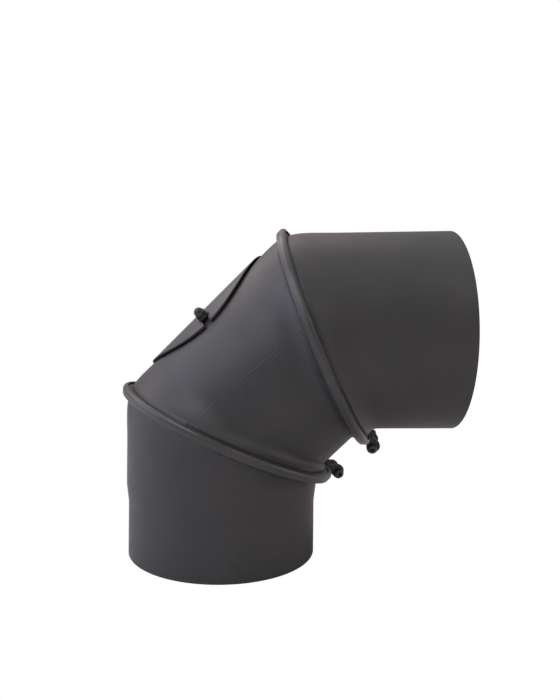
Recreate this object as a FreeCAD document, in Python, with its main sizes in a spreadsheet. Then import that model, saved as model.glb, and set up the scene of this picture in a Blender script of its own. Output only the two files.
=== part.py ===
import FreeCAD, Part
import math
import os

import Sketcher
from FreeCAD import Placement, Rotation, Vector

# Swivelling stove-pipe elbow: three mitred pieces of sheet steel held by two clamp rings, with an
# oval cleaning hatch on the outside of the bend. The origin is the centre of the spigot's open
# end, +Z runs up the lower pipe and +X points to the throat of the lower joint. Both joints are
# swivelled a little out of a flat bend. Lengths are in millimetres and angles in degrees.

SIZES = [
    ("wall", 2.0, "sheet thickness of the pipes"),
    ("spigot_radius", 74.6, "outer radius of the male spigot"),
    ("body_radius", 76.3, "outer radius of the lower and middle pipes"),
    ("socket_radius", 77.0, "outer radius of the upper pipe, whose open end is the socket"),
    ("spigot_length", 41.5, "straight length of the spigot"),
    ("taper_length", 14.0, "length of the cone from the spigot to the body"),
    ("lower_length", 97.8, "spigot's end to the first corner, along the lower pipe"),
    ("middle_length", 113.3, "first corner to second corner, along the middle pipe"),
    ("upper_length", 97.5, "second corner to the socket's end, along the upper pipe"),
    ("mitre_angle", 22.95, "tilt of each joint's plane from square to its pipes"),
    ("lower_swivel_turn", -18.3, "turn of the middle pipe in the lower joint, from a flat bend"),
    ("upper_swivel_turn", 32.8, "turn of the upper pipe in the upper joint, from a flat bend"),
    ("joint_shift", 4.45, "joint circle's centre, from the pipes' corner to the throat"),
    ("flare_start", 27.8, "where a pipe starts to flare, from the corner along its axis"),
    ("flare_power", 2.5, "power with which the flare opens towards the joint"),
    ("flare_widening", 7.7, "how far a flare opens beyond the body, to the joint's circle"),
    ("knuckle_depth", 4.7, "distance of that circle from the joint's plane"),
    ("rim_angle", 62.0, "angle of the coned rim from the joint's axis"),
    ("rim_width", 4.9, "width of the coned rim, outside the joint's circle"),
    ("flange_width", 4.8, "width of the flat flange, outside the joint's circle"),
    ("flange_gap", 0.0, "distance of the flat flange from the joint's plane"),
    ("seal_offset", 0.6, "rope seal's centre line, outside the joint's circle"),
    ("seal_radius", 0.8, "radius of the rope seal's section"),
    ("seal_gap", 0.405, "gap between the rope seal and the flat flange"),
    ("ring_rim_gap", 1.1, "gap between the coned rim and the inside of the ring's crown"),
    ("ring_wall", 1.0, "sheet thickness of a clamp ring"),
    ("ring_seat_gap", 0.3, "gap between the coned rim and the ring's seating lip"),
    ("ring_seat_offset", 3.3, "where the seating lip starts, outside the joint's circle"),
    ("ring_free_offset", 4.0, "where the free lip ends, outside the joint's circle"),
    ("ring_free_reach", 3.9, "how far the free lip reaches past the joint's plane"),
    ("ring_bevel", 1.0, "bevel between the crown and each lip"),
    ("ring_crown_start", 1.5, "start of the crown, before the joint's plane"),
    ("ring_crown_end", 2.1, "end of the crown, past the joint's plane"),
    ("ring_gap", 16.0, "opening between the ring's two ends"),
    ("lower_closure_turn", 12.0, "turn of the lower ring's opening from the throat towards +Y"),
    ("upper_closure_turn", 25.0, "the same turn of the upper ring's opening"),
    ("lug_thickness", 3.0, "thickness of a lug plate"),
    ("lug_foot_offset", 0.3, "middle of the lug's foot, outside the ring"),
    ("lug_foot_height", 2.2, "middle of the lug's foot, past the joint's plane"),
    ("lug_foot_round", 1.9, "radius of the lug's foot"),
    ("lug_swell_offset", 2.6, "middle of the lug's widest part, inside the screw"),
    ("lug_swell_rise", 2.3, "middle of the lug's widest part, past the screw"),
    ("lug_swell_round", 5.6, "radius of the lug's widest part"),
    ("lug_heel_offset", 0.5, "middle of the lug's heel, outside the ring"),
    ("lug_heel_height", 3.8, "middle of the lug's heel, past the joint's plane"),
    ("lug_heel_round", 1.9, "radius of the lug's heel"),
    ("lug_ear_offset", 1.1, "middle of the lug's small ear, inside the ring's crown"),
    ("lug_ear_height", 6.2, "middle of the lug's small ear, past the joint's plane"),
    ("lug_ear_round", 2.5, "radius of the lug's small ear"),
    ("screw_reach", 11.7, "clamp screw's distance from the outside of the ring"),
    ("screw_height", 0.5, "clamp screw's height past the joint's plane"),
    ("lug_eye_round", 4.3, "radius of the lug's outer end, around the screw"),
    ("screw_radius", 2.0, "radius of the clamp screw's shank"),
    ("screw_length", 24.0, "length of the clamp screw under its head"),
    ("head_radius", 3.95, "radius of the screw's pan head"),
    ("head_height", 2.7, "height of the pan head"),
    ("head_dome", 5.6, "radius of the pan head's rounded top"),
    ("recess_width", 1.0, "width of a slot of the cross recess"),
    ("recess_length", 4.6, "length of a slot of the cross recess"),
    ("recess_depth", 1.6, "depth of the cross recess"),
    ("clamp_washer_radius", 4.5, "radius of the washer under the screw's head"),
    ("clamp_washer_thickness", 0.8, "thickness of that washer"),
    ("clamp_nut_flats", 7.0, "width across flats of the clamp nut"),
    ("clamp_nut_height", 3.2, "height of the clamp nut"),
    ("running_gap", 0.08, "gap all round a screw or stud in a part that turns or slides"),
    ("hatch_half_length", 64.5, "half the hatch cover's length, along the pipe"),
    ("hatch_half_width", 58.0, "half the hatch cover's width, seen square to the pipe"),
    ("opening_half_length", 46.0, "half the hatch opening's length"),
    ("opening_half_width", 30.0, "half the hatch opening's width"),
    ("gasket_gap", 0.45, "gap between the pipe and the gasket"),
    ("gasket_thickness", 1.3, "thickness of the hatch gasket"),
    ("gasket_inset", 1.0, "how far the gasket stays inside the cover's sides"),
    ("gasket_end_inset", 9.0, "how far it stays inside the cover's ends, off the flares"),
    ("gasket_margin", 4.0, "how far the gasket stays outside the opening"),
    ("cover_thickness", 0.9, "sheet thickness of the hatch cover"),
    ("notch_radius", 3.1, "half the width of a notch in the cover, round a stud"),
    ("notch_inset", 0.98, "middle of a notch's round end, inside the stud's line"),
    ("stud_angle", 38.7, "angle of each stud from the heel, around the middle pipe"),
    ("stud_radius", 2.5, "radius of a hatch stud"),
    ("stud_grip", 6.5, "length of a stud inside its cap nut"),
    ("washer_radius", 5.0, "radius of a hatch washer"),
    ("washer_thickness", 1.0, "thickness of a hatch washer"),
    ("washer_gap", 0.3, "gap between a hatch washer and the cover"),
    ("cap_flats", 8.0, "width across flats of a cap nut"),
    ("cap_hex_height", 4.6, "height of a cap nut's hexagon"),
    ("cap_dome_radius", 3.75, "radius of a cap nut's dome"),
    ("cap_height", 10.2, "whole height of a cap nut"),
    ("cap_bore_depth", 7.2, "depth of a cap nut's blind hole"),
]

# Sizes that follow from the ones above; each may use those before it.
FOLLOWING = [
    ("knuckle_radius", "body_radius + flare_widening", "outer radius of the joint's circle"),
    ("rim_radius", "knuckle_radius + rim_width", "outer radius of the coned rim"),
    ("flange_radius", "knuckle_radius + flange_width", "outer radius of the flat flange"),
    ("seal_circle", "knuckle_radius + seal_offset", "radius of the rope seal's centre line"),
    ("ring_radius", "rim_radius + ring_rim_gap + ring_wall", "outer radius of a ring's crown"),
    ("ring_seat_radius", "knuckle_radius + ring_seat_offset", "where the seating lip starts"),
    ("ring_free_radius", "knuckle_radius + ring_free_offset", "where the free lip ends"),
    ("lug_foot_radius", "ring_radius + lug_foot_offset", "middle of the lug's foot"),
    ("lug_heel_radius", "ring_radius + lug_heel_offset", "middle of the lug's heel"),
    ("lug_ear_radius", "ring_radius - lug_ear_offset", "middle of the lug's small ear"),
    ("screw_offset", "ring_radius + screw_reach", "clamp screw, from the joint's axis"),
    ("lug_swell_radius", "screw_offset - lug_swell_offset", "middle of the widest part"),
    ("lug_swell_height", "screw_height + lug_swell_rise", "height of the widest part"),
    ("cover_seat", "body_radius + gasket_gap + gasket_thickness", "inside of the hatch cover"),
    ("notch_offset", "(cover_seat + cover_thickness / 2) * sin(stud_angle) - notch_inset",
     "middle of a notch's round end, from the cover's middle"),
]
FLARE_SHARES = (0, 0.3, 0.55, 0.75, 0.9, 1)     # sections from the plain pipe to the circle
REACH = 400.0                                   # larger than the whole elbow
X_AXIS, Y_AXIS, Z_AXIS = Vector(1, 0, 0), Vector(0, 1, 0), Vector(0, 0, 1)
HERE = Placement()

doc = FreeCAD.newDocument("flue_elbow")
sheet = doc.addObject("Spreadsheet::Sheet", "sizes")
for row, (alias, value, note) in enumerate(SIZES, start=1):
    sheet.set(f"A{row}", note)
    sheet.set(f"B{row}", str(value))
    sheet.setAlias(f"B{row}", alias)
doc.recompute()


# ---------------------------------------------------------------- helpers

def spelled(text):
    """The expression with every following size written out in the sheet's own aliases."""
    for alias, formula, _ in reversed(FOLLOWING):
        text = replace_word(text, alias, f"({formula})")
    return text


def number(text):
    """Value of an expression of sizes."""
    return float(sheet.evalExpression(spelled(text)))


def bound(text):
    """The same expression, written for an object outside the sheet."""
    text = spelled(text)
    for alias in sorted((entry[0] for entry in SIZES), key=len, reverse=True):
        text = replace_word(text, alias, "sizes." + alias)
    return text


def replace_word(text, alias, instead):
    pieces = text.split(alias)
    result = pieces[0]
    for piece in pieces[1:]:
        joins_before = result[-1:].isalnum() or result[-1:] in ("_", ".")
        joins_after = piece[:1].isalnum() or piece[:1] == "_"
        result += (alias if joins_before or joins_after else instead) + piece
    return result


def add(kind, name, placement=HERE, **expressions):
    """Adds an object whose named properties follow expressions of the sheet."""
    item = doc.addObject(kind, name)
    for prop, text in expressions.items():
        item.setExpression(prop, bound(text))
    item.Placement = placement
    return item


def cylinder(name, radius, height, placement=HERE):
    return add("Part::Cylinder", name, placement, Radius=radius, Height=height)


def block(name, length, width, height, placement=HERE):
    """Box centred on its frame in X and Y that starts at the frame's Z = 0."""
    shift = Placement(Vector(-number(length) / 2, -number(width) / 2, 0), Rotation())
    return add("Part::Box", name, placement.multiply(shift),
               Length=length, Width=width, Height=height)


def boolean(kind, name, base, tool, placement=HERE):
    item = doc.addObject(kind, name)
    item.Base = base
    item.Tool = tool
    item.Placement = placement
    return item


def cut(name, base, tool, placement=HERE):
    return boolean("Part::Cut", name, base, tool, placement)


def common(name, base, tool, placement=HERE):
    return boolean("Part::Common", name, base, tool, placement)


def fuse(name, pieces, placement=HERE):
    item = doc.addObject("Part::MultiFuse", name)
    item.Shapes = pieces
    item.Refine = True
    item.Placement = placement
    return item


def tube(name, outer, inner, height, placement=HERE):
    return cut(name, cylinder(name + "_outside", outer, height),
               cylinder(name + "_inside", inner, height), placement)


def ellipse_prism(name, half_length, half_width, placement=HERE):
    """Elliptical solid, long along X, that starts at its frame's Z = 0."""
    outline = add("Part::Ellipse", name + "_outline", Placement(Vector(), Rotation(Z_AXIS, 1)),
                  MajorRadius=f"max({half_length}; {half_width})",
                  MinorRadius=f"min({half_length}; {half_width})")
    outline.setExpression(".Placement.Rotation.Angle",
                          bound(f"({half_length}) < ({half_width}) ? 90 : 0"))
    prism = doc.addObject("Part::Extrusion", name)
    prism.Base = outline
    prism.DirMode = "Custom"
    prism.Dir = Z_AXIS
    prism.LengthFwd = REACH / 2
    prism.Solid = True
    prism.Placement = placement
    return prism


def hexagon(name, flats, height, placement=HERE):
    return add("Part::Prism", name, placement,
               Circumradius=f"{flats} / 2 / cos(30)", Height=height)


def new_sketch(body, name, role):
    plane = [item for item in body.Origin.OriginFeatures if item.Role == role][0]
    sketch = body.newObject("Sketcher::SketchObject", name)
    sketch.AttachmentSupport = [(plane, "")]
    sketch.MapMode = "FlatFace"
    return sketch


def draw_outline(sketch, outline):
    """Closed polygon; each corner is tied to a pair of expressions of the sheet."""
    corners = [Vector(number(across), number(up), 0) for across, up in outline]
    count = len(corners)
    for index, corner in enumerate(corners):
        sketch.addGeometry(Part.LineSegment(corner, corners[(index + 1) % count]), False)
    for index in range(count):
        follower = (index + 1) % count
        sketch.addConstraint(Sketcher.Constraint("Coincident", index, 2, follower, 1))
    for index, (across, up) in enumerate(outline):
        tie(sketch, "DistanceX", index, across)
        tie(sketch, "DistanceY", index, up)


def tie(sketch, kind, edge, text):
    """Ties an edge's first point to the sketch's origin."""
    where = sketch.addConstraint(Sketcher.Constraint(kind, -1, 1, edge, 1, number(text)))
    sketch.setExpression(f"Constraints[{where}]", bound(text))


def turned_body(name, outline, placement=HERE):
    """Body turned about Z from an outline of (radius, height) expressions."""
    body = doc.addObject("PartDesign::Body", name)
    sketch = new_sketch(body, name + "_profile", "XZ_Plane")
    draw_outline(sketch, outline)
    turn = body.newObject("PartDesign::Revolution", name + "_turn")
    turn.Profile = sketch
    turn.ReferenceAxis = (sketch, ["V_Axis"])
    turn.Angle = 360
    body.Tip = turn
    body.Placement = placement
    return body


# ---------------------------------------------------------------- frames

MITRE = number("mitre_angle")
BEND = 2 * MITRE


def along(angle):
    """Direction tilted from +Z towards +X."""
    return Vector(math.sin(math.radians(angle)), 0, math.cos(math.radians(angle)))


def frame(origin, x_dir, z_dir):
    return Placement(origin, Rotation(x_dir, z_dir.cross(x_dir), z_dir, "ZXY"))


# A pipe's frame has Z along the pipe, downstream, and X towards the throat of the bend.
# Inside it, an end's frame sits on the corner with its Z out of the pipe's end.
STARTING = Placement(Vector(), Rotation(X_AXIS, 180))


def ending(length):
    return Placement(Vector(0, 0, number(length)), Rotation())


# The joint circle, inside an end's frame: Z is the swivel axis, X points to the throat.
JOINT_IN_END = Placement(along(MITRE + 90) * number("joint_shift"), Rotation(Y_AXIS, MITRE))
JOINT_AT_START = STARTING.multiply(JOINT_IN_END).multiply(STARTING)


def joint_after(pipe, length):
    return pipe.multiply(ending(length)).multiply(JOINT_IN_END)


def turned(place, turn):
    return place.multiply(Placement(Vector(), Rotation(Z_AXIS, number(turn))))


def pipe_after(joint, turn):
    """Frame of the pipe that starts at a joint, swivelled from a flat bend."""
    return turned(joint, turn).multiply(JOINT_AT_START.inverse())


LOWER_PIPE = Placement()
LOWER_JOINT = joint_after(LOWER_PIPE, "lower_length")
MIDDLE_PIPE = pipe_after(LOWER_JOINT, "lower_swivel_turn")
UPPER_JOINT = joint_after(MIDDLE_PIPE, "middle_length")
UPPER_PIPE = pipe_after(UPPER_JOINT, "upper_swivel_turn")

# Each clamp ring's frame is its joint circle's, turned to the ring's opening.
CLAMP_FRAMES = {
    "lower": turned(LOWER_JOINT, "lower_closure_turn"),
    "upper": turned(UPPER_JOINT, "upper_closure_turn"),
}

# The hatch's frame lies half way along the middle pipe's axis, X along the pipe and Z out
# through the heel. Each stud's frame is the hatch's, tilted around the pipe.
HATCH_IN_PIPE = frame(Vector(0, 0, number("middle_length / 2")), Z_AXIS, -X_AXIS)
HATCH = MIDDLE_PIPE.multiply(HATCH_IN_PIPE)
STUD_FRAMES = {
    "front": HATCH.multiply(Placement(Vector(), Rotation(X_AXIS, number("stud_angle")))),
    "back": HATCH.multiply(Placement(Vector(), Rotation(X_AXIS, -number("stud_angle")))),
}


# ---------------------------------------------------------------- flared pipe ends

def flare(name, pipe_radius, circle_radius):
    """Solid from the plain pipe's oblique section to the joint's circle, in an end's frame."""
    shift = "(joint_shift - knuckle_depth * tan(mitre_angle))"
    sections = []
    for index, share in enumerate(FLARE_SHARES):
        opened = share ** number("flare_power")
        tilt = f"(mitre_angle * {(1 + share) / 2})"
        height = f"(flare_start * {1 - share} + knuckle_depth / cos(mitre_angle) * {share})"
        major = f"{pipe_radius} / cos{tilt} * {1 - opened} + {circle_radius} * {opened}"
        minor = f"{pipe_radius} * {1 - opened} + {circle_radius} * {opened}"
        section = add("Part::Ellipse", f"{name}_{index}", Placement(Vector(), Rotation(Y_AXIS, 1)),
                      MajorRadius=major, MinorRadius=minor)
        section.setExpression(".Placement.Rotation.Angle", bound(tilt))
        section.setExpression(".Placement.Base.x", bound(f"{shift} * {opened} * cos{tilt}"))
        section.setExpression(".Placement.Base.z",
                              bound(f"-{shift} * {opened} * sin{tilt} - {height}"))
        sections.append(section)
    loft = doc.addObject("Part::Loft", name)
    loft.Sections = sections
    loft.Solid = True
    return loft


def flared_end(name, pipe_radius, end):
    """Sheet-metal flare at a pipe's end, in the pipe's frame."""
    outside = flare(name + "_outside", pipe_radius, "knuckle_radius")
    inside = flare(name + "_inside", f"({pipe_radius} - wall)", "(knuckle_radius - wall)")
    return cut(name, outside, inside, end)


def cone_height(radius, offset):
    """Height at a radius of a line parallel to the coned rim's face, moved off it."""
    slope = f"({radius} - knuckle_radius) / tan(rim_angle)"
    return f"{slope} - knuckle_depth - ({offset}) / sin(rim_angle)"


def coned_rim(name, end):
    """Rim that carries a clamp ring's seating lip and holds the rope seal."""
    lean_in, lean_up = "wall * cos(rim_angle)", "wall * sin(rim_angle)"
    return turned_body(name, [
        ("knuckle_radius - wall", "-knuckle_depth"),
        ("knuckle_radius", "-knuckle_depth"),
        ("rim_radius", cone_height("rim_radius", "0")),
        (f"rim_radius - {lean_in}", cone_height("rim_radius", "0") + f" + {lean_up}"),
        (f"knuckle_radius - {lean_in}", f"{lean_up} - knuckle_depth"),
    ], end.multiply(JOINT_IN_END))


def flat_flange(name, end):
    """Neck and flange that turn in a clamp ring, facing the coned rim."""
    return turned_body(name, [
        ("knuckle_radius - wall", "-knuckle_depth"),
        ("knuckle_radius", "-knuckle_depth"),
        ("knuckle_radius", "-flange_gap - wall"),
        ("flange_radius", "-flange_gap - wall"),
        ("flange_radius", "-flange_gap"),
        ("knuckle_radius - wall", "-flange_gap"),
    ], end.multiply(JOINT_IN_END))


def past_flare(name, end):
    """Everything beyond the oblique plane where a pipe starts to flare."""
    plane = Placement(Z_AXIS * -number("flare_start"), Rotation(Y_AXIS, MITRE / 2))
    item = doc.addObject("Part::Box", name)
    item.Length = item.Width = item.Height = REACH
    corner = Placement(Vector(-REACH / 2, -REACH / 2, 0), Rotation())
    item.Placement = end.multiply(plane).multiply(corner)
    return item


# ---------------------------------------------------------------- the three pipes

def lower_pipe():
    """Spigot, cone and body, flared at the top."""
    end = ending("lower_length")
    top = "spigot_length + taper_length"
    straight = turned_body("lower_straight", [
        ("spigot_radius", "0"),
        ("spigot_radius", "spigot_length"),
        ("body_radius", top),
        ("body_radius", "lower_length"),
        ("body_radius - wall", "lower_length"),
        ("body_radius - wall", top),
        ("spigot_radius - wall", "spigot_length"),
        ("spigot_radius - wall", "0"),
    ])
    plain = cut("lower_plain", straight, past_flare("lower_past_flare", end))
    return fuse("lower_segment", [
        plain,
        flared_end("lower_flare", "body_radius", end),
        coned_rim("lower_rim", end),
    ], LOWER_PIPE)


def middle_pipe():
    """Short pipe, flared at both ends, with the hatch opening through its heel."""
    end = ending("middle_length")
    straight = tube("middle_straight", "body_radius", "body_radius - wall", "middle_length")
    shorter = cut("middle_shorter", straight, past_flare("middle_before_flare", STARTING))
    plain = cut("middle_plain", shorter, past_flare("middle_past_flare", end))
    opened = cut("middle_opened", plain, ellipse_prism(
        "hatch_opening", "opening_half_length", "opening_half_width", HATCH_IN_PIPE))
    return fuse("middle_segment", [
        opened,
        flared_end("middle_start_flare", "body_radius", STARTING),
        flat_flange("middle_flange", STARTING),
        flared_end("middle_end_flare", "body_radius", end),
        coned_rim("middle_rim", end),
    ], MIDDLE_PIPE)


def upper_pipe():
    """Pipe that ends in the socket, flared at its start."""
    straight = tube("upper_straight", "socket_radius", "socket_radius - wall", "upper_length")
    plain = cut("upper_plain", straight, past_flare("upper_before_flare", STARTING))
    return fuse("upper_segment", [
        plain,
        flared_end("upper_flare", "socket_radius", STARTING),
        flat_flange("upper_flange", STARTING),
    ], UPPER_PIPE)


# ---------------------------------------------------------------- clamp rings

def clamp_ring(name, placement):
    """Rolled ring with a seating lip, a flat crown and a free lip, cut open at +X."""
    near, far = "ring_seat_gap", "ring_seat_gap + ring_wall"
    inner = "(ring_radius - ring_wall)"
    shoulder = "(ring_radius - ring_bevel)"
    run = f"({shoulder} - ring_free_radius)"
    rise = "(ring_free_reach - ring_crown_end - ring_bevel)"
    length = f"sqrt({run} * {run} + {rise} * {rise})"
    lip_in = f"ring_wall * {rise} / {length}"
    lip_down = f"ring_wall * {run} / {length}"
    lip_start = f"ring_free_reach - {lip_down}"
    seat_inner = "(ring_seat_radius - ring_wall * cos(rim_angle))"
    body = turned_body(name, [
        ("ring_seat_radius", cone_height("ring_seat_radius", far)),
        (shoulder, cone_height(shoulder, far)),
        ("ring_radius", "-ring_crown_start"),
        ("ring_radius", "ring_crown_end"),
        (shoulder, "ring_crown_end + ring_bevel"),
        ("ring_free_radius", "ring_free_reach"),
        (f"ring_free_radius - {lip_in}", lip_start),
        (inner, f"{lip_start} - ({inner} - ring_free_radius + {lip_in}) * {rise} / {run}"),
        (inner, cone_height(inner, near)),
        (seat_inner, cone_height(seat_inner, near)),
    ], placement)
    opening = new_sketch(body, name + "_opening", "YZ_Plane")
    side, reach = "ring_gap / 2", "ring_radius / 4"
    draw_outline(opening, [(side, reach), (f"-{side}", reach),
                           (f"-{side}", f"-{reach}"), (side, f"-{reach}")])
    pocket = body.newObject("PartDesign::Pocket", name + "_gap")
    pocket.Profile = opening
    pocket.Type = "Length"
    pocket.Length = REACH
    pocket.Reversed = True
    body.Tip = pocket
    return body


def rounded_outline(circles):
    """Edges of the outline wrapped round a row of (across, up, radius) circles."""
    right, left = [], []
    for first, second in zip(circles, circles[1:]):
        step = Vector(second[0] - first[0], second[1] - first[1], 0)
        heading = math.atan2(step.y, step.x)
        spread = math.acos((first[2] - second[2]) / step.Length)
        right += [(first, heading - spread), (second, heading - spread)]
        left = [(second, heading + spread), (first, heading + spread)] + left
    stops = right + left
    edges = []
    for index, (circle, angle) in enumerate(stops):
        follower, next_angle = stops[(index + 1) % len(stops)]
        if follower == circle:
            edges.append(outline_arc(circle, angle, next_angle))
        else:
            edges.append(Part.LineSegment(rim_point(circle, angle),
                                          rim_point(follower, next_angle)))
    return edges


def rim_point(circle, angle):
    across, up, radius = circle
    return Vector(across + radius * math.cos(angle), up + radius * math.sin(angle), 0)


def outline_arc(circle, start, stop):
    across, up, radius = circle
    turn = (stop - start) % (2 * math.pi)
    return Part.ArcOfCircle(Part.Circle(Vector(across, up, 0), Z_AXIS, radius), start, start + turn)


def draw_rounded(sketch, circles):
    """Draws the outline round a row of circles and returns how many edges it has."""
    sketch.addGeometry(rounded_outline(circles), False)
    count = sketch.GeometryCount
    for index in range(count):
        sketch.addConstraint(Sketcher.Constraint("Coincident", index, 2, (index + 1) % count, 1))
        sketch.addConstraint(Sketcher.Constraint("Block", index))
    return count


def plate_pad(body, name, sketch):
    """Pad of the lug's thickness, half on each side of the sketch."""
    pad = body.newObject("PartDesign::Pad", name)
    pad.Profile = sketch
    pad.setExpression("Length", bound("lug_thickness"))
    pad.SideType = "Symmetric"
    return pad


def lug(name, placement):
    """Plate welded to a ring's end, with a small ear and a clear hole for the screw."""
    body = doc.addObject("PartDesign::Body", name)
    outline = new_sketch(body, name + "_outline", "XZ_Plane")
    count = draw_rounded(outline, [
        (number("lug_foot_radius"), number("lug_foot_height"), number("lug_foot_round")),
        (number("lug_swell_radius"), number("lug_swell_height"), number("lug_swell_round")),
        (number("screw_offset"), number("screw_height"), number("lug_eye_round")),
    ])
    middle = Vector(number("screw_offset"), number("screw_height"), 0)
    outline.addGeometry(Part.Circle(middle, Z_AXIS, number("screw_radius")), False)
    for kind, point, text in (("DistanceX", 3, "screw_offset"), ("DistanceY", 3, "screw_height")):
        where = outline.addConstraint(Sketcher.Constraint(kind, -1, 1, count, point, number(text)))
        outline.setExpression(f"Constraints[{where}]", bound(text))
    bore = "screw_radius + running_gap"
    where = outline.addConstraint(Sketcher.Constraint("Radius", count, number(bore)))
    outline.setExpression(f"Constraints[{where}]", bound(bore))
    plate_pad(body, name + "_plate", outline)
    ear = new_sketch(body, name + "_ear_outline", "XZ_Plane")
    draw_rounded(ear, [
        (number("lug_heel_radius"), number("lug_heel_height"), number("lug_heel_round")),
        (number("lug_ear_radius"), number("lug_ear_height"), number("lug_ear_round")),
    ])
    body.Tip = plate_pad(body, name + "_ear", ear)
    body.Placement = placement
    return body


def clamp_screw(name, placement):
    """Pan-head screw along Z, its head on top of its frame's origin."""
    shank = cylinder(name + "_shank", "screw_radius", "screw_length",
                     Placement(Z_AXIS * -number("screw_length"), Rotation()))
    ball = add("Part::Sphere", name + "_ball",
               Placement(Z_AXIS * number("head_height - head_dome"), Rotation()),
               Radius="head_dome")
    head = common(name + "_head", cylinder(name + "_drum", "head_radius", "head_height"), ball)
    recess_floor = Placement(Z_AXIS * number("head_height - recess_depth"), Rotation())
    slots = fuse(name + "_recess", [
        block(name + "_slot_1", "recess_length", "recess_width", "head_height", recess_floor),
        block(name + "_slot_2", "recess_width", "recess_length", "head_height", recess_floor),
    ])
    return cut(name, fuse(name + "_blank", [shank, head]), slots, placement)


def clamp(prefix):
    """One clamp ring with its lugs, screw, washer and nut."""
    home = CLAMP_FRAMES[prefix]

    def beside(offset, rotation=Rotation()):
        """Place on the screw's line at a distance from the ring's opening."""
        spot = Vector(number("screw_offset"), offset, number("screw_height"))
        return home.multiply(Placement(spot, rotation))

    half = number("ring_gap / 2")
    plate = number("lug_thickness / 2")
    washer = number("clamp_washer_thickness")
    facing_front, facing_back = Rotation(X_AXIS, 90), Rotation(X_AXIS, -90)
    hole = "screw_radius + running_gap"
    name = prefix + "_clamp"
    ring = clamp_ring(name + "_ring", home)
    front = lug(name + "_front_lug", home.multiply(Placement(Vector(0, plate - half, 0), Rotation())))
    back = lug(name + "_back_lug", home.multiply(Placement(Vector(0, half - plate, 0), Rotation())))
    disc = tube(name + "_washer", "clamp_washer_radius", hole, "clamp_washer_thickness",
                beside(-half, facing_front))
    screw = clamp_screw(name + "_screw", beside(-half - washer, facing_front))
    nut = cut(name + "_nut", hexagon(name + "_hexagon", "clamp_nut_flats", "clamp_nut_height"),
              cylinder(name + "_thread", hole, "clamp_nut_height"), beside(half, facing_back))
    return [ring, front, back, disc, screw, nut]


def joint_seal(prefix):
    """Rope seal lying in the coned rim."""
    seal = add("Part::Torus", prefix + "_joint_seal", Radius1="seal_circle", Radius2="seal_radius")
    down = Placement(Z_AXIS * -number("seal_radius + seal_gap"), Rotation())
    seal.Placement = CLAMP_FRAMES[prefix].multiply(down)
    return seal


# ---------------------------------------------------------------- hatch

def lying_shell(name, outer, inner):
    """Tube about the middle pipe's axis, in the hatch's frame."""
    start = Placement(Vector(-number("middle_length"), 0, 0), Rotation(Y_AXIS, 90))
    return tube(name, outer, inner, "2 * middle_length", start)


def notched(name, blank, placement):
    """Cuts the two notches that clear the studs."""
    tools = []
    for side, sign in (("front", -1), ("back", 1)):
        middle = Vector(0, sign * number("notch_offset"), 0)
        tools.append(cylinder(f"{name}_{side}_round", "notch_radius", "socket_radius * 2",
                              Placement(middle, Rotation())))
        width = number("hatch_half_width / 2")
        slot = Placement(middle + Y_AXIS * (sign * width), Rotation())
        tools.append(block(f"{name}_{side}_slot", "2 * notch_radius", "hatch_half_width",
                           "socket_radius * 2", slot))
    return cut(name, blank, fuse(name + "_notches", tools), placement)


def hatch_cover():
    sheet_metal = lying_shell("cover_sheet", "cover_seat + cover_thickness", "cover_seat")
    oval = ellipse_prism("cover_oval", "hatch_half_length", "hatch_half_width")
    return notched("hatch_cover", common("cover_blank", sheet_metal, oval), HATCH)


def hatch_gasket():
    bottom = "body_radius + gasket_gap"
    sheet_stock = lying_shell("gasket_sheet", f"{bottom} + gasket_thickness", bottom)
    oval = ellipse_prism("gasket_oval", "hatch_half_length - gasket_end_inset",
                         "hatch_half_width - gasket_inset")
    window = ellipse_prism("gasket_window", "opening_half_length + gasket_margin",
                           "opening_half_width + gasket_margin")
    band = cut("gasket_band", common("gasket_blank", sheet_stock, oval), window)
    return notched("hatch_gasket", band, HATCH)


def hatch_fastening(side):
    """Stud on the pipe, washer and cap nut, along the stud frame's Z."""
    home = STUD_FRAMES[side]
    seat = "cover_seat + cover_thickness + washer_gap"
    top = f"{seat} + washer_thickness"
    hole = "stud_radius + running_gap"

    def raised(height):
        return home.multiply(Placement(Z_AXIS * number(height), Rotation()))

    pipe = cylinder(f"stud_{side}_foot", "body_radius", "2 * middle_length",
                    Placement(Vector(-number("middle_length"), 0, 0), Rotation(Y_AXIS, 90)))
    stud = cut(f"hatch_stud_{side}",
               cylinder(f"stud_{side}_bar", "stud_radius", f"{top} + stud_grip"), pipe, home)
    disc = tube(f"hatch_washer_{side}", "washer_radius", hole, "washer_thickness", raised(seat))
    name = f"hatch_cap_nut_{side}"
    shoulder = Placement(Z_AXIS * number("cap_height - cap_dome_radius"), Rotation())
    blank = fuse(name + "_blank", [
        hexagon(name + "_hexagon", "cap_flats", "cap_hex_height"),
        cylinder(name + "_drum", "cap_dome_radius", "cap_height - cap_dome_radius"),
        add("Part::Sphere", name + "_dome", shoulder, Radius="cap_dome_radius"),
    ])
    nut = cut(name, blank, cylinder(name + "_bore", hole, "cap_bore_depth"), raised(top))
    return [stud, disc, nut]


# ---------------------------------------------------------------- assembly and export

pieces = [lower_pipe(), middle_pipe(), upper_pipe()]
for prefix in ("lower", "upper"):
    pieces.append(joint_seal(prefix))
    pieces += clamp(prefix)
pieces += [hatch_cover(), hatch_gasket()]
for side in ("front", "back"):
    pieces += hatch_fastening(side)
doc.recompute()

for item in doc.Objects:
    if "Invalid" in item.State or "Error" in item.State:
        raise RuntimeError(f"{item.Name} did not recompute: {item.State}")

os.makedirs("parts", exist_ok=True)
for piece in pieces:
    piece.Label = piece.Name
    shape = piece.Shape
    if shape.isNull() or not shape.isValid():
        raise RuntimeError(f"{piece.Label} has no valid shape")
    if len(shape.Solids) != 1:
        raise RuntimeError(f"{piece.Label} holds {len(shape.Solids)} solids")
    shape.exportStep(f"parts/{piece.Label}.step")
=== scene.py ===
"""Looks of a stove-pipe elbow with two clamped swivel joints and a cleaning hatch."""
import math

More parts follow.
